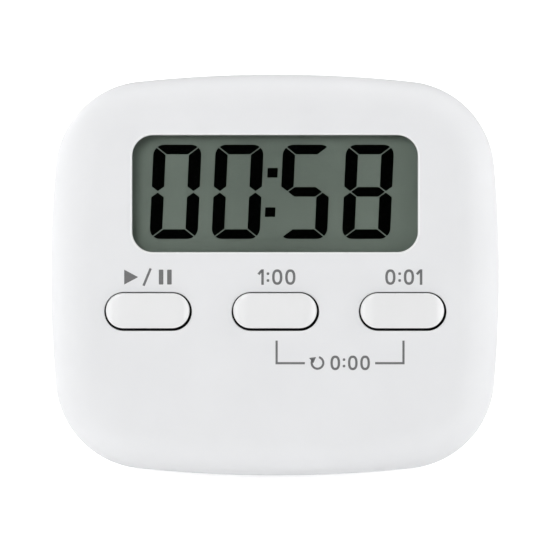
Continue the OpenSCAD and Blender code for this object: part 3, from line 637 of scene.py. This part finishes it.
def rear_shell():
    lip_out, lip_in, lip_y = 1.9, 2.8, PARTING - 1
    layers = [(case_outline(d), y) for d, y in (
        (RIM_IN, REAR_IN), (RIM_IN, STEP), (lip_in, STEP), (lip_in, lip_y), (lip_out, lip_y),
        (lip_out, PARTING), (GROOVE, PARTING), (0.0, PARTING + GROOVE))]
    layers += [(case_outline(REAR_EDGE * (1 - c)), DEPTH - REAR_EDGE + REAR_EDGE * s)
               for s, c in rounding(17)]

    def sink(outline, lip, depth):
        """Cuts a hole with a rounded lip into the back."""
        steps.append(("-", mouth(outline, DEPTH, -1, lip, depth)))

    # What stands on the inside: the cell's tub, the hinge's beam, bosses, magnet cups, the
    # stand's hinge blocks and the buzzer's ring with its shelf.
    inside = REAR_IN + LAP
    tub_wall, tub_floor, beam_wall, beam_y, beam_top = 1.2, 3.0, 1.15, 13.9, -9.8
    steps = [("+", Shape().block((-BAY_X - tub_wall, tub_floor, BAY_LOW - 0.9),
                                 (BAY_X + tub_wall, inside, BAY_TOP + 1))),
             ("+", Shape().block((-BAY_X - beam_wall, beam_y, BAY_TOP + 0.5),
                                 (BAY_X + beam_wall, inside, beam_top)))]
    boss_r, boss_y, cup_wall, cup_y = 2.6, 11.5, 1.2, 13.9
    steps += [("+", Shape().peg(at, boss_r, boss_y, inside)) for at in CASE_SCREWS]
    steps += [("+", Shape().peg(at, MAGNET_R + cup_wall, cup_y, inside)) for at in MAGNETS]
    hinge_half = 2.2
    for low, high in both_sides(28.0, 29.8):
        steps.append(("+", Shape().block((low, STEP + 0.5, STAND_Z - hinge_half),
                                         (high, inside, STAND_Z + hinge_half))))
    for outer_r, inner_r, front in ((11.2, 10.3, 13.6), (10.5, 8.6, 14.5)):
        steps.append(("+", Shape().hollow(circle(BUZZER, outer_r, 64), circle(BUZZER, inner_r, 64),
                                          front, inside)))

    bay_floor, bay_roof = 4.0, 15.6
    steps.append(("-", Shape().block((-BAY_X, bay_floor, BAY_LOW), (BAY_X, bay_roof, BAY_TOP))))
    door_top = DOOR_Z + DOOR_T / 2
    high = door_top - DOOR_LOW + 2 * DOOR_GAP
    middle = (door_top + DOOR_LOW) / 2
    half = DOOR_X + DOOR_GAP

    def opening(d):
        return shifted(rounded(2 * (half + d), high + 2 * d, 1.2 + d, 8), 0.0, middle)

    door_seat, pin_bore, pin_reach = 14.9, 0.65, 0.8
    sink(opening, 0.2, DEPTH - door_seat)
    steps.append(("-", Shape().axle(DOOR_Y, DOOR_Z, pin_bore, -half - pin_reach, half + pin_reach)))

    def channel(d):
        """Where the stand folds in."""
        top = STAND_Z + STAND_T / 2 + 0.5 + d
        return lower_half(3.5 - d, top) + lower_half(7.1 + d, top)[::-1]

    channel_floor, stand_bore = STEP + 1.5, 0.85
    sink(channel, 0.22, DEPTH - channel_floor)
    for low, high in both_sides(29.0, 31.5):
        steps.append(("-", Shape().axle(STAND_Y, STAND_Z, stand_bore, low, high)))

    bore, well = 1.2, 1.75
    for at in CASE_SCREWS:
        steps.append(("-", Shape().peg(at, bore, boss_y - 0.5, CASE_HEAD_Y + 1)))
        sink(lambda d, at=at: circle(at, well + d), 0.3, DEPTH - CASE_HEAD_Y)
    for at in MAGNETS:
        sink(lambda d, at=at: circle(at, MAGNET_R + 0.1 + d, 64), 0.15, MAGNET_T + 0.05)
    ring_r, sound_r, sound_deep = 4, 0.8, 2.6
    for at in [BUZZER] + circle(BUZZER, ring_r, 6):
        sink(lambda d, at=at: circle(at, sound_r + d, 24), 0.2, sound_deep)
    for low, high in both_sides(23.6, 24.2):  # slots for the contacts' tails
        steps.append(("-", Shape().block((low, 9.8, BAY_TOP - 1), (high, 12.7, -9.0))))
    return combine(Shape().skin(layers), steps)


def in_button_hole(p):
    """True on the wall of a button's hole, below its rounded lip."""
    reach = CAP_GAP + 0.2
    if not 0.2 < p.y < WALL - LAP or abs(p.z - BUTTON_Z) > CAP_H / 2 + reach:
        return False
    return any(abs(p.x - x) < CAP_L / 2 + reach for x in BUTTONS.values())


def on_window_lip(p):
    """True on the rounded lip of the display window."""
    reach = LIP_R + 0.05
    inside = abs(p.x) < WINDOW_W / 2 + reach and abs(p.z - WINDOW_Z) < WINDOW_H / 2 + reach
    return inside and 0.001 < p.y < LIP_R


# The window's lip takes a paler colour, which is a painted highlight.
piece("front_shell", front_shell(), "case", "front_case",
      zones=[("gap_shade", in_button_hole), ("glossy_lip_painted_highlight", on_window_lip)])
piece("rear_shell", rear_shell(), "case", "rear_cover")

# A cap's straight side begins at CAP_SIDE and its flange ends at FLANGE_BACK.
CAP_SIDE, FLANGE_FRONT, FLANGE_BACK, FLANGE_OUT = 0.12, 1.7, 2.5, 1.15


def button_cap(x):
    """A cap with a flat middle and drooping ends, a flange under it and a plunger behind."""
    edge, droop = 0.35, 0.68

    def ring(d, y):
        points = []
        for u, z in button_outline(d):
            past = max(0.0, abs(u) - CAP_STRAIGHT) / (CAP_H / 2)
            points.append((u + x, y + droop * past ** 3, z))
        return points

    rings = [ring(CAP_H / 2 - d, -CAP_PROUD) for d in (0.04, 0.8, 1.4, 1.9, 2.2)]
    rings += [ring(edge * (1 - s), -CAP_PROUD + edge * (1 - c)) for s, c in rounding(9)]
    for d, y in ((0, CAP_SIDE), (0, FLANGE_FRONT), (-FLANGE_OUT, FLANGE_FRONT),
                 (-FLANGE_OUT, FLANGE_BACK)):
        rings.append([(u, y, z) for u, z in button_outline(d, x)])
    plunger = [(2.4, 1.6), (4.45, 1.6), (4.55, 1.55), (4.6, 1.45)]
    return combine(Shape().loft(rings), [("+", Shape().lathe((x, 0, BUTTON_Z), plunger))])


def on_cap_side(p):
    return 0.2 < p.y < FLANGE_FRONT + 0.05


def rubber_dome(x):
    """A hollow cone with a thick crown and a rounded shoulder."""
    foot_r, crown_r, shoulder, hub_r, crown_t = 3.1, 1.98, 0.35, 0.4, 1.0
    roof = DOME_TOP + crown_t
    inside = [(roof, 1.5), (roof + 0.08, 1.62), (MAT_FRONT, 2.4)]
    outside = [(MAT_FRONT, foot_r)]
    outside += [(DOME_TOP + shoulder - shoulder * s, crown_r - shoulder * (1 - c))
                for s, c in rounding(9)]
    return Shape().lathe((x, 0, BUTTON_Z), inside + outside + [(DOME_TOP, hub_r)], 40)


for key, x in BUTTONS.items():
    piece(f"{key}_key_cap", button_cap(x), f"{key}_key", f"{key}_button", sharp=40,
          zones=[("gap_shade", on_cap_side)])
    dome = piece(f"{key}_rubber_dome", rubber_dome(x), "case", f"{key}_dome")
    # The squash moves the dome's own points, so it takes no modifiers.
    for mod in list(dome.modifiers):
        dome.modifiers.remove(mod)
    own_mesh(dome)


def fold_out_stand():
    """One bar bent round the case's outline, with rounded edges and half-round ends."""
    edge, arcs = 0.55, 5
    y0, y1 = DEPTH - STAND_T, DEPTH
    outer, inner = lower_half(3.8, STAND_Z), lower_half(6.8, STAND_Z)
    outer = [(x, max(z, STAND_LOW)) for x, z in outer]

    def section(po, pi, y_low, y_high):
        """The bar's section between a point of its outer line and one of its inner line."""
        po, pi = Vector(po), Vector(pi)
        w = (po - pi).length
        way = (po - pi) / w
        e = min(edge, w / 2.2, (y_high - y_low) / 2.2)
        ring = []
        for cu, cy, start in ((w - e, y_high - e, 0), (e, y_high - e, 90), (e, y_low + e, 180),
                              (w - e, y_low + e, 270)):
            for k in range(arcs + 1):
                a = math.radians(start + 90 * k / arcs)
                at = pi + way * (cu + e * math.cos(a))
                ring.append((at.x, cy + e * math.sin(a), at.y))
        return ring

    def end(sign, order):
        """The round end above the hinge's level."""
        rings = []
        half = STAND_T / 2
        for t in order:
            a = math.radians(t)
            z = STAND_Z + half * math.sin(a)
            reach = half * math.cos(a)
            rings.append(section((sign * STAND_OUT, z), (sign * STAND_IN, z),
                                 STAND_Y - reach, STAND_Y + reach))
        return rings

    steps_up = range(12, 85, 12)
    rings = end(1, reversed(steps_up))
    for k, (po, pi) in enumerate(zip(outer, inner)):
        if k in (0, len(outer) - 1):
            po = (math.copysign(STAND_OUT, po[0]), po[1])
            pi = (math.copysign(STAND_IN, pi[0]), pi[1])
        rings.append(section(po, pi, y0, y1))
    rings += end(-1, steps_up)
    pins = []
    for side in (-1, 1):
        profile = [(side * u, r) for u, r in ((29.3, 0.62), (29.5, 0.8), (31.6, 0.8))]
        pins.append(("+", Shape().lathe((0, STAND_Y, STAND_Z), profile, 32, "X")))
    return combine(Shape().loft(rings), pins)


piece("fold_out_stand", fold_out_stand(), "stand", "stand", place=opened, flat_foot=True)


def battery_lid():
    """The door: a finger dimple, grip ribs in a shallow pocket, a latch tab and hinge pins."""
    def outline(d):
        corner = 1.0
        low = arc((DOOR_X - d - corner, DOOR_LOW + d + corner), corner, 0, -math.pi / 2, 8, 1)
        right = [(DOOR_X - d, DOOR_Z)] + low
        return right + [(-x, z) for x, z in right[::-1]]

    edge = 0.35
    layers = [(outline(0), DEPTH - DOOR_T)]
    layers += [(outline(edge * (1 - c)), DEPTH - edge + edge * s) for s, c in rounding(7)]
    barrel = [(-DOOR_X, 0.75), (-DOOR_X + 0.25, 1.0), (DOOR_X - 0.25, 1.0), (DOOR_X, 0.75)]
    pins = [(-DOOR_X - 0.9, 0.42), (-DOOR_X - 0.72, 0.6), (DOOR_X + 0.72, 0.6), (DOOR_X + 0.9, 0.42)]
    latch = Shape().block((-4, DEPTH - 1.3, DOOR_LOW - 0.2), (4, DEPTH - 0.6, DOOR_LOW + 0.3))

    ball, sink, dimple_z = 6.0, 0.9, -20.0
    bowl = [(-ball, 0.02)]
    for i in range(1, 13):
        a = math.radians(3.4 * i)
        bowl.append((-ball * math.cos(a), ball * math.sin(a)))
    dimple = Shape().lathe((0.0, DEPTH - sink + ball, dimple_z), bowl + [(0.0, 4.3)], 72)

    pocket_z, pocket_deep, chamfer, rib_pitch = -14.75, 0.5, 0.2, 0.95
    floor_line = shifted(rounded(9.6, 2.9, 0.6, 6), 0.0, pocket_z)
    rim_line = shifted(rounded(10.2, 3.5, 0.9, 6), 0.0, pocket_z)
    pocket = Shape().skin([(floor_line, DEPTH - pocket_deep), (floor_line, DEPTH - chamfer),
                           (rim_line, DEPTH + 0.1), (rim_line, DEPTH + 1)])
    steps = [("+", Shape().lathe((0, DOOR_Y, DOOR_Z), barrel, 40, "X")),
             ("+", Shape().lathe((0, DOOR_Y, DOOR_Z), pins, 32, "X")),
             ("+", latch), ("-", dimple), ("-", pocket)]
    for k in (-1, 0, 1):
        z = pocket_z + k * rib_pitch
        foot = shifted(rounded(8.8, 0.56, 0.27, 4), 0.0, z)
        crest = shifted(rounded(8.5, 0.26, 0.12, 4), 0.0, z)
        steps.append(("+", Shape().skin([(foot, DEPTH - pocket_deep - 0.1), (foot, DEPTH - chamfer),
                                         (crest, DEPTH)])))
    return combine(Shape().skin(layers), steps)


piece("battery_lid", battery_lid(), "door", "battery_door")


def nickel_discs():
    shape, edge = Shape(), 0.25
    profile = [(DEPTH - MAGNET_T, MAGNET_R - edge), (DEPTH - MAGNET_T + edge, MAGNET_R)]
    profile += [(DEPTH - edge + edge * s, MAGNET_R - edge + edge * c) for s, c in rounding(6)]
    profile.append((DEPTH, MAGNET_R - edge - 0.1))
    for x, z in MAGNETS:
        shape.lathe((x, 0, z), profile, 72)
    return shape


piece("nickel_discs", nickel_discs(), "case", "magnets")


def screw(at, tip, shank_r, head, head_t):
    """A threaded screw with a pan head and a cross recess. Its head faces +Y."""
    taper, pitch, root_r = 0.6, 0.5, shank_r * 0.8
    profile = [(tip, 0.15), (tip + taper, root_r)]
    y = tip + taper
    while y + pitch < head - 0.3:
        profile += [(y + 0.1, shank_r), (y + 0.2, shank_r), (y + 0.35, root_r), (y + pitch, root_r)]
        y += pitch
    straight = 0.35  # the share of the head's height that has straight sides
    profile += [(head, root_r), (head, HEAD_R), (head + head_t * straight, HEAD_R)]
    for i in range(1, 9):
        t = math.radians(10 * i)
        profile.append((head + head_t * (straight + (1 - straight) * math.sin(t)),
                        HEAD_R * (0.25 + 0.75 * math.cos(t))))
    top = head + head_t
    wide, thin = HEAD_R * 0.62, HEAD_R * 0.16
    corners = ((-1, -1), (1, -1), (1, 1), (-1, 1))
    recess = []
    for a, b in ((wide, thin), (thin, wide)):
        low = [(at[0] + sx * a * 0.55, at[1] + sz * b * 0.8) for sx, sz in corners]
        up = [(at[0] + sx * a, at[1] + sz * b) for sx, sz in corners]
        arm = Shape().skin([(low, top - head_t * 0.62), (up, top + 0.05), (up, top + 1.0)])
        recess.append(("-", arm))
    return combine(Shape().lathe((at[0], 0, at[1]), profile, 40), recess)


def joined(meshes):
    """Several meshes as one."""
    bm = bmesh.new()
    for m in meshes:
        bm.from_mesh(m)
        bpy.data.meshes.remove(m)
    made = bpy.data.meshes.new("joined")
    bm.to_mesh(made)
    bm.free()
    return made


piece("case_screw_set", joined([screw(at, 5.2, 1.0, CASE_HEAD_Y, 1.2) for at in CASE_SCREWS]),
      "case", "case_screws")
piece("board_screw_set", joined([screw(at, 3.4, 0.8, BOARD_HEAD_Y, 1.1) for at in BOARD_SCREWS]),
      "case", "board_screws")


# ---------------------------------------------------------------- the cell and its contacts
def cell_can():
    """The cell's can: a rolled shoulder at each end and a shallow step under the cap."""
    r, a, b = CELL_R, CELL_X, CELL_END
    back, front = 0.45, 0.7
    profile = [(a, r - 0.9), (a, r - back)]
    for t in range(15, 91, 15):
        t = math.radians(t)
        profile.append((a + back * (1 - math.cos(t)), r - back + back * math.sin(t)))
    for t in range(0, 76, 15):
        t = math.radians(t)
        profile.append((b - front + front * math.sin(t), r - front + front * math.cos(t)))
    profile += [(b, r - 0.75), (b, r - 1.3), (b - 0.25, r - 1.5), (b - 0.25, 2.2), (b, 2.05)]
    return Shape().lathe((0, CELL_Y, CELL_Z), profile, 64, "X")


def cell_cap():
    cap_r, cap_out, edge = 1.9, 0.7, 0.3
    b = CELL_END
    profile = [(b, cap_r), (b + cap_out, cap_r)]
    for t in range(15, 91, 15):
        t = math.radians(t)
        profile.append((b + cap_out + edge * math.sin(t), cap_r - edge + edge * math.cos(t)))
    return Shape().lathe((0, CELL_Y, CELL_Z), profile, 48, "X")


def spring_coil():
    """A conical spring along X. Its first part of a turn lies against the plate."""
    start, end, start_r, end_r = -23.43, -21.72, 3.6, 2.1
    turns, closed, wire_r, per_turn = 2.5, 0.4, 0.3, 40
    route, count = [], int(turns * per_turn)
    for i in range(count + 1):
        share = i / count
        a = 2 * math.pi * turns * share
        risen = max(0.0, (share * turns - closed) / (turns - closed))
        r = start_r + (end_r - start_r) * share
        route.append((start + (end - start) * risen, CELL_Y + r * math.cos(a),
                      CELL_Z + r * math.sin(a)))
    return Shape().tube(route, wire_r)


piece("cell_can", cell_can(), "case", "battery_can")
piece("cell_cap", cell_cap(), "case", "battery_positive_cap")
piece("spring_coil", spring_coil(), "case", "negative_spring")

# The CAD nodes that stay get their finish here. The rear glass lies on the reflector, so it
# has the reflector's finish too.
for name, node in frame["nodes"].items():
    if node.hide_render:
        continue
    finish = FINISH["lcd_reflector" if name == "lcd_rear_glass" else slot_of[name]].material
    if node.material_slots:
        for held in node.material_slots:
            held.material = finish
    else:
        node.data.materials.append(finish)


# ---------------------------------------------------------------- printed marks
# The ink is a thin layer that stands a little out of the face and reaches a little into it.
INK_OUT, INK_IN = -0.012, 0.01
INK = Finish("grey ink", (0.135, 0.135, 0.1365), 0.5).mottle(0.06, 0.5).bump(2, 0.1)


def filled(shape, outline):
    shape.skin([(outline, INK_OUT), (outline, INK_IN)])


def stroke(shape, path, width, closed=False):
    """A line of even width with mitred bends and square ends."""
    pts = [Vector(p) for p in path]
    n = len(pts)
    left, right = [], []
    for i, p in enumerate(pts):
        before = pts[(i - 1) % n] if closed or i > 0 else None
        after = pts[(i + 1) % n] if closed or i < n - 1 else None
        ways = [(q - p).normalized() * s for q, s in ((before, -1), (after, 1)) if q is not None]
        way = sum(ways, Vector((0, 0))).normalized()
        side = Vector((-way.y, way.x))
        reach = width / 2 / max(0.4, side.dot(Vector((-ways[-1].y, ways[-1].x))))
        left.append(p + side * reach)
        right.append(p - side * reach)
    rings = []
    for a, b in zip(left, right):
        rings.append([(a.x, INK_OUT, a.y), (a.x, INK_IN, a.y), (b.x, INK_IN, b.y), (b.x, INK_OUT, b.y)])
    shape.loft(rings, loop=closed)


def glyph_zero(shape, x, z, w, h, line):
    """A tall ring with slightly squared shoulders."""
    half_w, half_h, power, count = (w - line) / 2, (h - line) / 2, 0.82, 40
    path = []
    for i in range(count):
        a = 2 * math.pi * i / count
        c, s = math.cos(a), math.sin(a)
        path.append((x + w / 2 + half_w * math.copysign(abs(c) ** power, c),
                     z + half_h * math.copysign(abs(s) ** power, s)))
    stroke(shape, path, line, True)


def glyph_one(shape, x, z, w, h, line):
    stem, top = x + w - line / 2, z + h / 2
    stroke(shape, [(stem, z - h / 2), (stem, top)], line)
    stroke(shape, [(stem - line * 0.3, top - line * 0.45), (x, top - line * 2.0)], line)


def glyph_colon(shape, x, z, w, h, line):
    dot = rounded(w, w, 0.315 * line, 4)
    for dz in (-h * 0.22, h * 0.22):
        filled(shape, shifted(dot, x + w / 2, z + dz))


def clock_label(text, middle, z, h=2.6, line=0.42):
    """Minutes and seconds, such as 1:00, centred on middle."""
    glyphs = {"0": (glyph_zero, 0.66 * h), "1": (glyph_one, 0.35 * h),
              ":": (glyph_colon, line * 1.05)}
    gap = 0.185 * h
    total = sum(glyphs[c][1] for c in text) + gap * (len(text) - 1)
    shape, x = Shape(), middle - total / 2
    for c in text:
        glyph, w = glyphs[c]
        glyph(shape, x, z, w, h, line)
        x += w + gap
    return shape


def play_pause_label(middle, z):
    """A play triangle, a slash and two pause bars."""
    left, half, slash_half = middle - 4.1, 1.25, 1.45
    shape = Shape()
    filled(shape, [(left, z - half), (left + 2.35, z), (left, z + half)])
    stroke(shape, [(middle - 0.85, z - slash_half), (middle + 0.35, z + slash_half)], 0.4)
    for dx in (2.1, 3.5):
        filled(shape, shifted(rounded(0.76, 2 * half, 0.12, 4), middle + dx, z))
    return shape


def reset_label(x, z):
    """A turned arrow and 0:00 between the lines that join the minute and second buttons."""
    shape = Shape().add(clock_label("0:00", x + 1.75, z, 2.45, 0.4))
    turn_x, turn_r, arrow_line, bracket_line = x - 3.75, 0.98, 0.36, 0.37
    angles = [math.radians(a) for a in range(-215, 76, 10)]
    sweep = [(turn_x + turn_r * math.cos(a), z + turn_r * math.sin(a)) for a in angles]
    stroke(shape, sweep, arrow_line)
    tip_x, tip_z = sweep[0]
    filled(shape, [(tip_x - 0.62, tip_z + 0.28), (tip_x + 0.1, tip_z - 0.62),
                   (tip_x + 0.58, tip_z + 0.42)])
    top, low = -11.03, -14.83
    for outer, inner in ((0.27, 5.03), (21.6, 16.83)):
        stroke(shape, [(outer, top), (outer, low), (inner, low)], bracket_line)
    return shape


label_z = -0.35
marks = Shape().add(play_pause_label(-21.25, label_z))
marks.add(clock_label("1:00", 0.32, label_z)).add(clock_label("0:01", 21.65, label_z))
marks.add(reset_label(10.89, -14.77))

ink = marks.mesh()
ink.transform(bench)
ink.materials.append(INK.material)
decal = bpy.data.objects.new("printed_marks", ink)
bpy.context.scene.collection.objects.link(decal)
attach(decal, "case")


# ---------------------------------------------------------------- floor, lights, camera
def disc_mesh(r, n=96):
    made = bpy.data.meshes.new("floor")
    made.from_pydata([(x, y, 0.0) for x, y in circle((0.0, 0.0), r, n)], [], [tuple(range(n))])
    return made


def by_ray(tree, seen, unseen):
    """A strength: seen for the camera's own rays, unseen for the light that falls on things."""
    path = add_node(tree, "LightPath")
    return map_range(tree, path.outputs["Is Camera Ray"], unseen, seen)


# The floor glows for the camera, so that it ends up as white as the photo's background.
floor_finish = Finish("floor", (0.86, 0.862, 0.865), 0.9)
floor_finish.shader.inputs["Emission Color"].default_value = (1, 1, 1, 1)
tree = floor_finish.tree
length = add_node(tree, "VectorMath", (0, floor_finish.coords), operation="LENGTH")
outward = map_range(tree, length.outputs["Value"], 0.62, 1.0, 0.25, 0.9)  # brighter further out
glow = add_node(tree, "Math", (0, by_ray(tree, 1.0, 0.28)), (1, outward), operation="MULTIPLY")
tree.links.new(glow.outputs[0], floor_finish.shader.inputs["Emission Strength"])
floor = bpy.data.objects.new("floor", disc_mesh(4.0))
floor.data.materials.append(floor_finish.material)
bpy.context.scene.collection.objects.link(floor)

scene = bpy.context.scene
scene.view_settings.view_transform = "Standard"
scene.cycles.transparent_max_bounces = 24  # the display is a stack of clear layers
world = bpy.data.worlds.new("studio")
world.use_nodes = True
background = world.node_tree.nodes["Background"]
background.inputs["Color"].default_value = (0.985, 0.99, 1.0, 1.0)
world.node_tree.links.new(by_ray(world.node_tree, 1.0, 0.12), background.inputs["Strength"])
scene.world = world

centre = bench @ Vector((0, 6, 0))
bench_turn = bench.to_3x3().normalized()


def softbox(name, at, size, power):
    """An area light aimed at the case. at is in bench directions and millimetres from its
    centre, size is in metres and power in watts."""
    data = bpy.data.lights.new(name, "AREA")
    data.shape = "RECTANGLE"
    data.size, data.size_y = size
    data.energy = power
    lamp = bpy.data.objects.new(name, data)
    place = centre + bench_turn @ (Vector(at) * MM)
    lamp.location = place
    lamp.rotation_mode = "QUATERNION"
    lamp.rotation_quaternion = (centre - place).to_track_quat("-Z", "Y")
    scene.collection.objects.link(lamp)


softbox("key", (-250, -770, 195), (0.29, 0.26), 2.65)
softbox("left strip", (-420, 70, 20), (0.2, 0.6), 0.7)
softbox("left panel", (-430, -330, 20), (0.3, 0.35), 0.8)
softbox("right panel", (430, -330, 20), (0.3, 0.35), 0.8)
softbox("left rim", (-380, 330, 40), (0.2, 0.4), 0.5)
softbox("right strip", (420, -10, 20), (0.2, 0.6), 1.08)
softbox("right rim", (380, 330, 40), (0.2, 0.4), 0.45)
softbox("top strip", (0, 20, 420), (0.6, 0.2), 1.1)
softbox("back fill", (-330, 430, 260), (0.26, 0.26), 0.6)

# The camera looks squarely at the face. FRAME_WIDTH is how wide its picture is at the case.
FRAME_WIDTH, LENS, SENSOR = 93.3 * MM, 300.0, 36.0
camera = bpy.data.objects.new("camera", bpy.data.cameras.new("camera"))
camera.data.lens, camera.data.sensor_width = LENS, SENSOR
facing = bench_turn @ Vector((0, 1, 0))
camera.location = bench @ Vector((0, 7, 0)) - facing * (FRAME_WIDTH * LENS / SENSOR)
camera.rotation_mode = "QUATERNION"
camera.rotation_quaternion = facing.to_track_quat("-Z", "Y")
camera.data.clip_start, camera.data.clip_end = 0.01, 20.0
scene.collection.objects.link(camera)
scene.camera = camera
